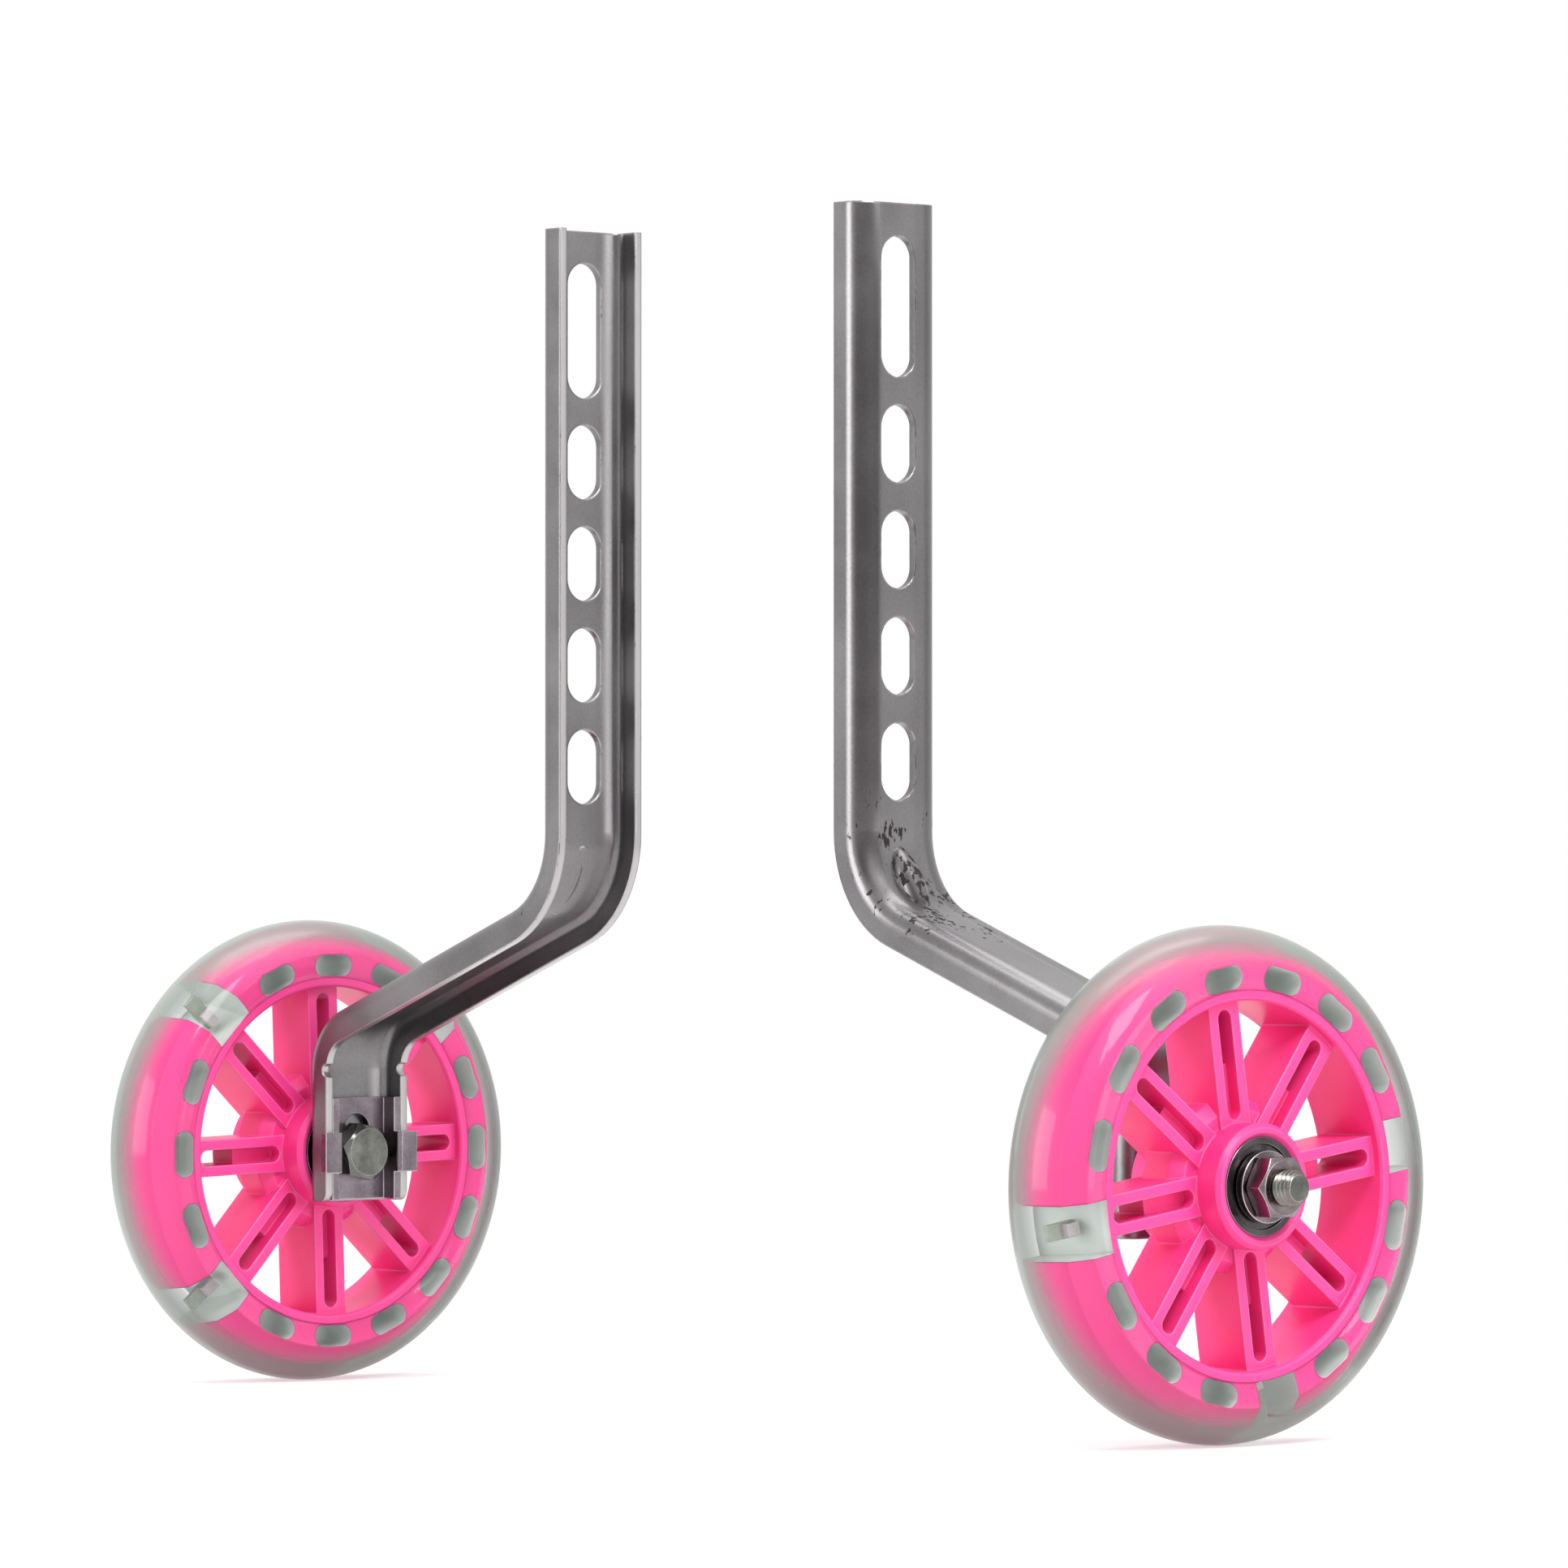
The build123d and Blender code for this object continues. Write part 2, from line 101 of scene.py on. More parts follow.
def add_node(
    tree: Tree,
    kind: str,
    values: dict | None = None,
    links: dict | None = None,
    **settings: object,
) -> bpy.types.Node:
    """Add a shader node, set it and link what feeds it.

    Args:
        tree: Node tree that gets the node.
        kind: Node type, without the ShaderNode in front.
        values: Constants by input name or index.
        links: Source sockets by input name or index.
        settings: Attributes of the node itself.

    Returns:
        The new node.
    """
    node = tree.nodes.new("ShaderNode" + kind)
    for name, value in settings.items():
        setattr(node, name, value)
    for socket, value in (values or {}).items():
        node.inputs[socket].default_value = value
    for socket, source in (links or {}).items():
        tree.links.new(source, node.inputs[socket])
    return node


def new_material(name: str) -> tuple[bpy.types.Material, Tree]:
    """Start an empty node material.

    Args:
        name: Name of the real material.

    Returns:
        The material and its cleared node tree.
    """
    material = bpy.data.materials.new(name)
    material.use_nodes = True
    material.node_tree.nodes.clear()
    return material, material.node_tree


def deselect() -> None:
    """Leave edit mode and select nothing."""
    if bpy.context.object and bpy.context.object.mode != "OBJECT":
        bpy.ops.object.mode_set(mode="OBJECT")
    bpy.ops.object.select_all(action="DESELECT")


def pick(*objects: bpy.types.Object) -> bpy.types.Object:
    """Select only these objects and make the first one active."""
    deselect()
    for item in objects:
        item.select_set(True)
    bpy.context.view_layer.objects.active = objects[0]
    return objects[0]


@contextmanager
def editing(obj: bpy.types.Object, everything: bool = True) -> Iterator[None]:
    """Work on one object in edit mode.

    Args:
        obj: Object to edit.
        everything: Whether its whole mesh starts selected.

    Returns:
        A context that leaves edit mode at its end.
    """
    pick(obj)
    bpy.ops.object.mode_set(mode="EDIT")
    bpy.ops.mesh.select_mode(type="VERT")
    bpy.ops.mesh.select_all(action="SELECT" if everything else "DESELECT")
    yield
    bpy.ops.object.mode_set(mode="OBJECT")


def select_points(obj: bpy.types.Object, test: Callable[[Vector], bool]) -> None:
    """Select the vertices whose place passes a test, inside edit mode.

    Args:
        obj: Object in edit mode.
        test: Says of a place whether it is wanted.
    """
    bpy.ops.mesh.select_all(action="DESELECT")
    bpy.ops.object.mode_set(mode="OBJECT")
    for vertex in obj.data.vertices:
        vertex.select = test(vertex.co)
    bpy.ops.object.mode_set(mode="EDIT")


def cut(body: bpy.types.Object, tool: bpy.types.Object, operation: str) -> None:
    """Apply a Boolean of two solids and remove the tool.

    Args:
        body: Solid that is kept.
        tool: Solid that shapes it.
        operation: DIFFERENCE or INTERSECT.
    """
    pick(body)
    step = body.modifiers.new("shape", "BOOLEAN")
    step.object, step.operation, step.solver = tool, operation, "EXACT"
    bpy.ops.object.modifier_apply(modifier=step.name)
    bpy.data.objects.remove(tool)


def settle(obj: bpy.types.Object, name: str, smooth_deg: float) -> bpy.types.Object:
    """Finish a piece: place in its mesh, doubles merged, faces outward, smooth by angle.

    Args:
        obj: Object to finish.
        name: Name it takes.
        smooth_deg: Angle above which an edge stays sharp.

    Returns:
        The same object.
    """
    pick(obj)
    bpy.ops.object.transform_apply(location=True, rotation=True, scale=True)
    with editing(obj):
        bpy.ops.mesh.remove_doubles(threshold=MERGE)
        bpy.ops.mesh.normals_make_consistent(inside=False)
    pick(obj)
    bpy.ops.object.shade_smooth_by_angle(angle=math.radians(smooth_deg))
    obj.name = obj.data.name = name
    return obj


# ---------------------------------------------------------------- finishes


def axle_distance(tree: Tree, place: Socket) -> Socket:
    """Distance of each point from the wheels' common axle line.

    Args:
        tree: Node tree of the material.
        place: Object coordinates.

    Returns:
        The distance in metres.
    """
    spoke = add_node(
        tree,
        "VectorMath",
        {1: (0, 1, 1), 2: (0, 0, -AXLE_HEIGHT)},
        {0: place},
        operation="MULTIPLY_ADD",
    ).outputs["Vector"]
    return add_node(tree, "VectorMath", {}, {0: spoke}, operation="LENGTH").outputs["Value"]


def rounded_edges(
    tree: Tree, size_mm: float, span: tuple[float, float], share: float
) -> tuple[Socket, Socket, Socket]:
    """Round the normals at edges, and find edges by how far that turns them.

    Args:
        tree: Node tree of the material.
        size_mm: Radius of the rounding.
        span: Cosines where an edge begins and is full.
        share: Mask of a full edge.

    Returns:
        The rounded normal, the true one and a mask of the edges.
    """
    round_off = add_node(
        tree, "Bevel", {"Radius": size_mm * MM}, samples=SHADER_SAMPLES
    ).outputs["Normal"]
    true_normal = add_node(tree, "NewGeometry").outputs["Normal"]
    agree = add_node(
        tree, "VectorMath", {}, {0: round_off, 1: true_normal}, operation="DOT_PRODUCT"
    ).outputs["Value"]
    mask = add_node(
        tree,
        "MapRange",
        {"From Min": span[0], "From Max": span[1], "To Max": share},
        {"Value": agree},
    ).outputs["Result"]
    return round_off, true_normal, mask


@dataclass(frozen=True)
class PressedChannel:
    """A pressed channel: a web that the press dished towards its flanges, and pale lips, partly
    bare cut steel and partly a painted highlight.
    """

    roll: float = 0.45  # slope of the web beside its flanges
    roll_mm: tuple[float, float] = (4.0, 9.0)  # where on the web that slope begins and is full
    inner_share: float = 0.5  # how much of that slope the inner side has
    # pale lip colour, partly bare cut steel and partly a painted highlight
    lip: str = "#b2afaf"
    lip_mm: float = 10.6  # the lips lie farther out than this
    lip_level: float = 0.5  # a face that leans sideways by more than this is no lip

    def dish(
        self, tree: Tree, place: Socket, true_normal: Socket, round_off: Socket
    ) -> tuple[Socket, Socket]:
        """Dish the web towards its flanges and find the lips.

        Args:
            tree: Node tree of the material.
            place: Object coordinates.
            true_normal: Normal of the surface itself.
            round_off: Normal with its edges rounded.

        Returns:
            The dished normal and a mask of the lips.
        """
        spot = add_node(tree, "SeparateXYZ", {}, {0: place}).outputs
        way = add_node(tree, "SeparateXYZ", {}, {0: true_normal}).outputs
        outer = add_node(tree, "Math", {}, {0: spot["X"], 1: way["X"]}, operation="MULTIPLY")
        outer = add_node(tree, "Math", {}, {0: outer.outputs[0]}, operation="SIGN").outputs[0]
        half = add_node(tree, "Math", {}, {0: spot["Y"]}, operation="SIGN").outputs[0]
        far = add_node(tree, "Math", {}, {0: spot["Y"]}, operation="ABSOLUTE").outputs[0]
        slope = add_node(
            tree,
            "MapRange",
            {
                "From Min": self.roll_mm[0] * MM,
                "From Max": self.roll_mm[1] * MM,
                "To Max": self.roll,
            },
            {"Value": far},
            interpolation_type="SMOOTHSTEP",
        ).outputs["Result"]
        sideways = add_node(tree, "Math", {}, {0: way["Y"]}, operation="ABSOLUTE").outputs[0]
        level = add_node(tree, "Math", {0: 1.0}, {1: sideways}, operation="SUBTRACT").outputs[0]
        lip = add_node(
            tree, "Math", {1: self.lip_mm * MM}, {0: far}, operation="GREATER_THAN"
        ).outputs[0]
        inner = add_node(tree, "Math", {1: 0.0}, {0: outer}, operation="LESS_THAN").outputs[0]
        flat = add_node(
            tree, "Math", {1: self.lip_level}, {0: level}, operation="GREATER_THAN"
        ).outputs[0]
        for factor in (inner, flat):
            lip = add_node(tree, "Math", {}, {0: lip, 1: factor}, operation="MULTIPLY").outputs[0]
        web = add_node(tree, "Math", {0: 1.0}, {1: lip}, operation="SUBTRACT").outputs[0]
        dished = add_node(
            tree, "MapRange", {"From Min": -1.0, "To Min": -self.inner_share}, {"Value": outer}
        ).outputs["Result"]
        lean = slope
        for factor in (level, dished, half, web):
            lean = add_node(tree, "Math", {}, {0: lean, 1: factor}, operation="MULTIPLY").outputs[0]
        tilt = add_node(tree, "CombineXYZ", {}, {"Y": lean}).outputs["Vector"]
        tilted = add_node(tree, "VectorMath", {}, {0: round_off, 1: tilt}).outputs["Vector"]
        normal = add_node(
            tree, "VectorMath", {}, {0: tilted}, operation="NORMALIZE"
        ).outputs["Vector"]
        return normal, lip


@dataclass(frozen=True)
class LacquerChips:
    """Small dark chips along a lacquered piece's edges and round the outside of its bend."""

    colour: str = "#3b3637"
    roughness: float = 0.7
    fleck_mm: float = 1.2
    fleck_draw: float = 0.45  # share of the height that counts, so that flecks run along the arm
    patch_mm: float = 11.0
    patch_span: tuple[float, float] = (0.38, 0.6)
    patch_wear: tuple[float, float] = (0.4, 0.77)  # wear between the patches and on them
    bend_mm: tuple[float, float] = (128.0, 30.0)  # height of the worn bend and its reach
    bend_full_share: float = 1 / 3  # part of that reach with full wear
    bend_least: float = 0.3  # wear away from the bend
    edge_wear: float = 0.75
    break_span: tuple[float, float] = (0.37, 0.4)  # wear between which the skin gives way

    def scatter(
        self,
        tree: Tree,
        place: Socket,
        true_normal: Socket,
        edge: Socket,
        colour: Socket,
        rough: Socket,
    ) -> tuple[Socket, Socket]:
        """Break the skin in chips.

        Args:
            tree: Node tree of the material.
            place: Object coordinates.
            true_normal: Normal of the surface itself.
            edge: Mask of the edges.
            colour: Colour of the whole skin.
            rough: Roughness of the whole skin.

        Returns:
            Colour and roughness with the chips.
        """
        drawn = add_node(
            tree, "VectorMath", {1: (1.0, 1.0, self.fleck_draw)}, {0: place}, operation="MULTIPLY"
        ).outputs["Vector"]
        fleck = add_node(
            tree, "TexNoise", {"Scale": per_metre(self.fleck_mm), "Detail": 4.0}, {"Vector": drawn}
        ).outputs["Fac"]
        patch = add_node(
            tree, "TexNoise", {"Scale": per_metre(self.patch_mm), "Detail": 1.0}, {"Vector": place}
        ).outputs["Fac"]
        where = add_node(
            tree,
            "MapRange",
            {
                "From Min": self.patch_span[0],
                "From Max": self.patch_span[1],
                "To Min": self.patch_wear[0],
                "To Max": self.patch_wear[1],
            },
            {"Value": patch},
        ).outputs["Result"]
        spot = add_node(tree, "SeparateXYZ", {}, {0: place}).outputs
        above = add_node(
            tree, "Math", {1: self.bend_mm[0] * MM}, {0: spot["Z"]}, operation="SUBTRACT"
        ).outputs[0]
        away = add_node(tree, "Math", {}, {0: above}, operation="ABSOLUTE").outputs[0]
        reach = self.bend_mm[1] * MM
        bend = add_node(
            tree,
            "MapRange",
            {
                "From Min": reach,
                "From Max": reach * self.bend_full_share,
                "To Min": self.bend_least,
            },
            {"Value": away},
        ).outputs["Result"]
        way = add_node(tree, "SeparateXYZ", {}, {0: true_normal}).outputs["X"]
        outer = add_node(tree, "Math", {}, {0: spot["X"], 1: way}, operation="MULTIPLY").outputs[0]
        outside = add_node(tree, "Math", {1: 0.0}, {0: outer}, operation="GREATER_THAN").outputs[0]
        worn = where
        for factor in (bend, outside):
            worn = add_node(tree, "Math", {}, {0: worn, 1: factor}, operation="MULTIPLY").outputs[0]
        near = add_node(
            tree, "Math", {1: self.edge_wear}, {0: edge, 2: worn}, operation="MULTIPLY_ADD"
        ).outputs[0]
        loud = add_node(tree, "Math", {}, {0: fleck, 1: near}, operation="MULTIPLY").outputs[0]
        broken = add_node(
            tree,
            "MapRange",
            {"From Min": self.break_span[0], "From Max": self.break_span[1]},
            {"Value": loud},
        ).outputs["Result"]
        colour = add_node(
            tree, "Mix", {7: linear(self.colour)}, {0: broken, 6: colour}, data_type="RGBA"
        ).outputs[2]
        rough = add_node(
            tree, "Mix", {3: self.roughness}, {0: broken, 2: rough}, data_type="FLOAT"
        ).outputs[0]
        return colour, rough


@dataclass(frozen=True)
class Metal:
    """Steel with a plated or lacquered skin: two body tones and a painted highlight along its
    edges.
    """

    name: str
    body: str
    shade: str
    # pale colour of the edges, a painted highlight
    edge: str
    roughness: tuple[float, float]
    edge_mm: float
    edge_share: float = 0.8
    edge_span: tuple[float, float] = (0.995, 0.8)  # cosines where an edge begins and is full
    metallic: float = 1.0  # less where lacquer scatters some of the light
    cloud_mm: float = 26.0
    cloud_span: tuple[float, float] = (0.32, 0.68)
    grain_mm: float = 0.7  # coarser than real, so that it shows
    grain_tone: float = 0.22
    grain_depth: float = 0.02
    channel: PressedChannel | None = None
    chips: LacquerChips | None = None

    def build(self) -> bpy.types.Material:
        """Make the material.

        Returns:
            A metal with a painted highlight along its edges and a slightly uneven skin.
        """
        material, tree = new_material(self.name)
        place = add_node(tree, "TexCoord").outputs["Object"]
        cloud = add_node(
            tree, "TexNoise", {"Scale": per_metre(self.cloud_mm), "Detail": 3.0}, {"Vector": place}
        ).outputs["Fac"]
        grain = add_node(
            tree, "TexNoise", {"Scale": per_metre(self.grain_mm), "Detail": 2.0}, {"Vector": place}
        ).outputs["Fac"]
        tone = add_node(
            tree,
            "MapRange",
            {"From Min": self.cloud_span[0], "From Max": self.cloud_span[1]},
            {"Value": cloud},
        ).outputs["Result"]
        speckle = add_node(
            tree,
            "MapRange",
            {
                "From Min": NOISE_SPAN[0],
                "From Max": NOISE_SPAN[1],
                "To Min": -self.grain_tone,
                "To Max": self.grain_tone,
            },
            {"Value": grain},
        ).outputs["Result"]
        mixed = add_node(tree, "Math", {}, {0: tone, 1: speckle}, use_clamp=True).outputs[0]
        skin = add_node(
            tree,
            "Mix",
            {6: linear(self.shade), 7: linear(self.body)},
            {0: mixed},
            data_type="RGBA",
        ).outputs[2]
        round_off, true_normal, edge = rounded_edges(
            tree, self.edge_mm, self.edge_span, self.edge_share
        )
        # painted highlight: every edge turns to the pale edge colour, which on the lacquered arm
        # partly stands for bare steel
        colour = add_node(
            tree, "Mix", {7: linear(self.edge)}, {0: edge, 6: skin}, data_type="RGBA"
        ).outputs[2]
        normal = round_off
        if self.channel:
            normal, lip = self.channel.dish(tree, place, true_normal, round_off)
            # painted highlight: the lips turn to the pale lip colour, which partly stands for bare
            # cut steel
            colour = add_node(
                tree, "Mix", {7: linear(self.channel.lip)}, {0: lip, 6: colour}, data_type="RGBA"
            ).outputs[2]
        rough = add_node(
            tree,
            "MapRange",
            {
                "From Min": NOISE_SPAN[0],
                "From Max": NOISE_SPAN[1],
                "To Min": self.roughness[0],
                "To Max": self.roughness[1],
            },
            {"Value": cloud},
        ).outputs["Result"]
        if self.chips:
            colour, rough = self.chips.scatter(tree, place, true_normal, edge, colour, rough)
        bump = add_node(
            tree,
            "Bump",
            {"Strength": 0.5, "Distance": self.grain_depth * MM},
            {"Height": grain, "Normal": normal},
        ).outputs["Normal"]
        shader = add_node(
            tree,
            "BsdfPrincipled",
            {"Metallic": self.metallic},
            {"Base Color": colour, "Roughness": rough, "Normal": bump},
        )
        add_node(tree, "OutputMaterial", {}, {"Surface": shader.outputs[0]})
        return material


@dataclass(frozen=True)
class PinkPolypropylene:
    """Injection-moulded polypropylene: saturated pink, with painted shade in its recesses and a
    painted highlight at thin ribs and edges.
    """

    name: str = "pink_polypropylene"
    body: str = "#ff4499"
    # painted shade: the darker pink that the recesses take
    recess_shade: str = "#e23088"
    # painted highlight: the paler pink along the edges
    edge: str = "#ff82bc"
    core: str = "#ff4298"
    # painted shade: the darker pink along the core's edges under the tyre
    outline: str = "#c8407f"
    # painted reflection: pale grey-green on the walls of the windows and gaps under the tyre
    wall_reflection: str = "#e8ecea"
    edge_mm: float = 0.8
    edge_span: tuple[float, float] = (0.99, 0.78)  # cosines where an edge begins and is full
    hollow_mm: float = 8.0
    hollow_span: tuple[float, float] = (0.85, 0.2)  # open sky where a recess begins and is full
    hollow_share: float = 0.75
    roughness: tuple[float, float] = (0.32, 0.5)
    cloud_mm: float = 14.0
    grain_mm: float = 0.8  # coarser than real, so that it shows
    grain_depth: float = 0.03
    core_mm: tuple[float, float] = (43.2, 52.2)  # radii between which the tyre covers the rim
    wall_lean: float = 0.3  # a wall leans along the axle by less than this

    def under_tyre(self, tree: Tree, place: Socket, true_normal: Socket) -> tuple[Socket, Socket]:
        """Find the core that the tyre covers, and the walls of its windows and gaps, which take a
        painted reflection.

        Args:
            tree: Node tree of the material.
            place: Object coordinates.
            true_normal: Normal of the face itself.

        Returns:
            Masks of the whole core and of the walls of its windows and gaps.
        """
        radius = axle_distance(tree, place)
        core = add_node(
            tree, "Math", {1: self.core_mm[0] * MM}, {0: radius}, operation="GREATER_THAN"
        ).outputs[0]
        inside = add_node(
            tree, "Math", {1: self.core_mm[1] * MM}, {0: radius}, operation="LESS_THAN"
        ).outputs[0]
        axial = add_node(
            tree, "VectorMath", {1: (1, 0, 0)}, {0: true_normal}, operation="DOT_PRODUCT"
        ).outputs["Value"]
        across = add_node(
            tree, "Math", {1: 0.0, 2: self.wall_lean}, {0: axial}, operation="COMPARE"
        ).outputs[0]
        walls = add_node(tree, "Math", {}, {0: inside, 1: across}, operation="MULTIPLY").outputs[0]
        return core, walls

    def build(self) -> bpy.types.Material:
        """Make the material.

        Returns:
            A soft-gloss plastic with painted shade in its recesses and a painted highlight along
            its edges.
        """
        material, tree = new_material(self.name)
        place = add_node(tree, "TexCoord").outputs["Object"]
        cloud = add_node(
            tree, "TexNoise", {"Scale": per_metre(self.cloud_mm), "Detail": 2.0}, {"Vector": place}
        ).outputs["Fac"]
        grain = add_node(
            tree, "TexNoise", {"Scale": per_metre(self.grain_mm)}, {"Vector": place}
        ).outputs["Fac"]
        open_sky = add_node(
            tree,
            "AmbientOcclusion",
            {"Distance": self.hollow_mm * MM},
            only_local=True,
            samples=SHADER_SAMPLES,
        ).outputs["AO"]
        recess = add_node(
            tree,
            "MapRange",
            {
                "From Min": self.hollow_span[0],
                "From Max": self.hollow_span[1],
                "To Max": self.hollow_share,
            },
            {"Value": open_sky},
        ).outputs["Result"]
        # painted shade: the pink darkens where the occlusion look-up finds a recess
        skin = add_node(
            tree,
            "Mix",
            {6: linear(self.body), 7: linear(self.recess_shade)},
            {0: recess},
            data_type="RGBA",
        ).outputs[2]
        round_off, true_normal, turned = rounded_edges(tree, self.edge_mm, self.edge_span, 1.0)
        edge = add_node(tree, "Math", {}, {0: turned, 1: open_sky}, operation="MULTIPLY").outputs[0]
        # painted highlight: edges open to the sky turn to the paler pink
        bare = add_node(
            tree, "Mix", {7: linear(self.edge)}, {0: edge, 6: skin}, data_type="RGBA"
        ).outputs[2]
        core, walls = self.under_tyre(tree, place, true_normal)
        # painted shade: under the tyre the edges darken to an outline
        flank = add_node(
            tree,
            "Mix",
            {6: linear(self.core), 7: linear(self.outline)},
            {0: edge},
            data_type="RGBA",
        ).outputs[2]
        # painted reflection: those walls turn pale grey-green
        cast = add_node(
            tree, "Mix", {7: linear(self.wall_reflection)}, {0: walls, 6: flank}, data_type="RGBA"
        ).outputs[2]
        colour = add_node(tree, "Mix", {}, {0: core, 6: bare, 7: cast}, data_type="RGBA").outputs[2]
        rough = add_node(
            tree,
            "MapRange",
            {"To Min": self.roughness[0], "To Max": self.roughness[1]},
            {"Value": cloud},
        ).outputs["Result"]
        bump = add_node(
            tree,
            "Bump",
            {"Strength": 0.35, "Distance": self.grain_depth * MM},
            {"Height": grain, "Normal": round_off},
        ).outputs["Normal"]
        shader = add_node(
            tree,
            "BsdfPrincipled",
            {
                "IOR": 1.49,
                "Subsurface Weight": 0.25,
                "Subsurface Radius": (1.0, 0.3, 0.5),
                "Subsurface Scale": 1.5 * MM,
            },
            {"Base Color": colour, "Roughness": rough, "Normal": bump},
        )
        add_node(tree, "OutputMaterial", {}, {"Surface": shader.outputs[0]})
        return material


@dataclass(frozen=True)
class ClearVinyl:
    """Cast clear PVC: faintly milky, so that it greys where the eye skims along it."""

    name: str = "clear_pvc"
    tint: str = "#ffffff"
    depth: str = "#a3b0a6"
    density: float = 25.0
    milk: str = "#818882"
    skim: tuple[float, float] = (0.12, 0.5)
    milkiness: float = 0.84
    crown_mm: tuple[float, float] = (47.0, 51.5)  # the flank by the rim stays clear
    haze: tuple[float, float] = (0.04, 0.12)
    swirl_mm: float = 7.0
    swirl_depth: float = 0.15
    milk_roughness: float = 0.3

    def build(self) -> bpy.types.Material:
        """Make the material.

        Returns:
            A refracting solid that greys with depth and turns milky along its outline.
        """
        material, tree = new_material(self.name)
        place = add_node(tree, "TexCoord").outputs["Object"]
        swirl = add_node(
            tree,
            "TexNoise",
            {"Scale": per_metre(self.swirl_mm), "Detail": 2.0, "Distortion": 0.6},
            {"Vector": place},
        ).outputs["Fac"]
        rough = add_node(
            tree,
            "MapRange",
            {
                "From Min": NOISE_SPAN[0],
                "From Max": NOISE_SPAN[1],
                "To Min": self.haze[0],
                "To Max": self.haze[1],
            },
            {"Value": swirl},
        ).outputs["Result"]
        bump = add_node(
            tree,
            "Bump",
            {"Strength": 0.15, "Distance": self.swirl_depth * MM},
            {"Height": swirl},
        ).outputs["Normal"]
        # less refraction than real vinyl, which would spread the core's pink up to the outline;
        # the coat has the gloss
        clear = add_node(
            tree,
            "BsdfPrincipled",
            {
                "Base Color": linear(self.tint),
                "IOR": 1.2,
                "Transmission Weight": 1.0,
                "Coat Weight": 0.2,
                "Coat Roughness": 0.14,
            },
            {"Roughness": rough, "Normal": bump},
        )
        milky = add_node(
            tree,
            "BsdfPrincipled",
            {"Base Color": linear(self.milk), "Roughness": self.milk_roughness},
            {"Normal": bump},
        )
        facing = add_node(tree, "LayerWeight", {"Blend": 0.5}).outputs["Facing"]
        veil = add_node(
            tree,
            "MapRange",
            {"From Min": self.skim[0], "From Max": self.skim[1], "To Max": self.milkiness},
            {"Value": facing},
            interpolation_type="SMOOTHSTEP",
        ).outputs["Result"]
        crown = add_node(
            tree,
            "MapRange",
            {"From Min": self.crown_mm[0] * MM, "From Max": self.crown_mm[1] * MM},
            {"Value": axle_distance(tree, place)},
        ).outputs["Result"]
        veil = add_node(tree, "Math", {}, {0: veil, 1: crown}, operation="MULTIPLY").outputs[0]
        skin = add_node(tree, "MixShader", {}, {0: veil, 1: clear.outputs[0], 2: milky.outputs[0]})
        inside = add_node(
            tree, "VolumeAbsorption", {"Color": linear(self.depth), "Density": self.density}
        )
        add_node(
            tree, "OutputMaterial", {}, {"Surface": skin.outputs[0], "Volume": inside.outputs[0]}
        )
        return material


@dataclass(frozen=True)
class SmallPart:
    """Plain moulded or laminated stuff of the lights: two close tones and a fine tooth."""

    name: str
    light: str
    dark: str
    roughness: float
    spot_mm: float
    tooth_mm: float = 0.02

    def build(self) -> bpy.types.Material:
        """Make the material.

        Returns:
            A dielectric with a fine mottle.
        """
        material, tree = new_material(self.name)
        place = add_node(tree, "TexCoord").outputs["Object"]
        spot = add_node(
            tree, "TexNoise", {"Scale": per_metre(self.spot_mm), "Detail": 3.0}, {"Vector": place}
        ).outputs["Fac"]
        colour = add_node(
            tree,
            "Mix",
            {6: linear(self.dark), 7: linear(self.light)},
            {0: spot},
            data_type="RGBA",
        ).outputs[2]
        bump = add_node(
            tree, "Bump", {"Strength": 0.3, "Distance": self.tooth_mm * MM}, {"Height": spot}
        ).outputs["Normal"]
        shader = add_node(
            tree,
            "BsdfPrincipled",
            {"Roughness": self.roughness},
            {"Base Color": colour, "Normal": bump},
        )
        add_node(tree, "OutputMaterial", {}, {"Surface": shader.outputs[0]})
        return material


# Pressed mild steel under thin silver-grey lacquer: satin, speckled, pale along its lips and edges,
# partly bare cut steel and partly a painted highlight
ARM_LACQUER = Metal(
    "silver_lacquered_steel",
    body="#828081",
    shade="#706d6f",
    edge="#c6c3c3",
    roughness=(0.24, 0.34),
    edge_mm=0.8,
    metallic=0.82,
    channel=PressedChannel(),
    chips=LacquerChips(),
)
# Steel sheet under clear zinc: even and a little purple, with a painted highlight along its edges
CLIP_ZINC = Metal(
    "clear_zinc_sheet",
    body="#8b8087",
    shade="#6f656b",
    edge="#d9d5d6",
    roughness=(0.22, 0.34),
    edge_mm=0.5,
    cloud_mm=9.0,
)
# Zinc-plated bolt steel: greenish grey top, with a painted highlight on its facet edges
BOLT_ZINC = Metal(
    "zinc_plated_bolt_steel",
    body="#7f807a",
    shade="#5e5e5a",
    edge="#eceae6",
    roughness=(0.18, 0.3),
    edge_mm=0.35,
    cloud_mm=5.0,
    grain_mm=0.4,
)
# Nut, washer and spacer of darker, purplish plate, with a painted highlight on the chamfers
NUT_PLATE = Metal(
    "dark_plated_nut_steel",
    body="#8a7f83",
    shade="#5f5559",
    edge="#e8e4e4",
    roughness=(0.16, 0.28),
    edge_mm=0.4,
    cloud_mm=5.0,
    grain_mm=0.4,
)
# Hardened, ground bearing steel: dark and glossy, with a painted highlight ring at each edge
BEARING_STEEL = Metal(
    "ground_bearing_steel",
    body="#5d595a",
    shade="#444041",
    edge="#c9c5c5",
    roughness=(0.14, 0.24),
    edge_mm=0.3,
    cloud_mm=6.0,
    grain_mm=0.3,
)
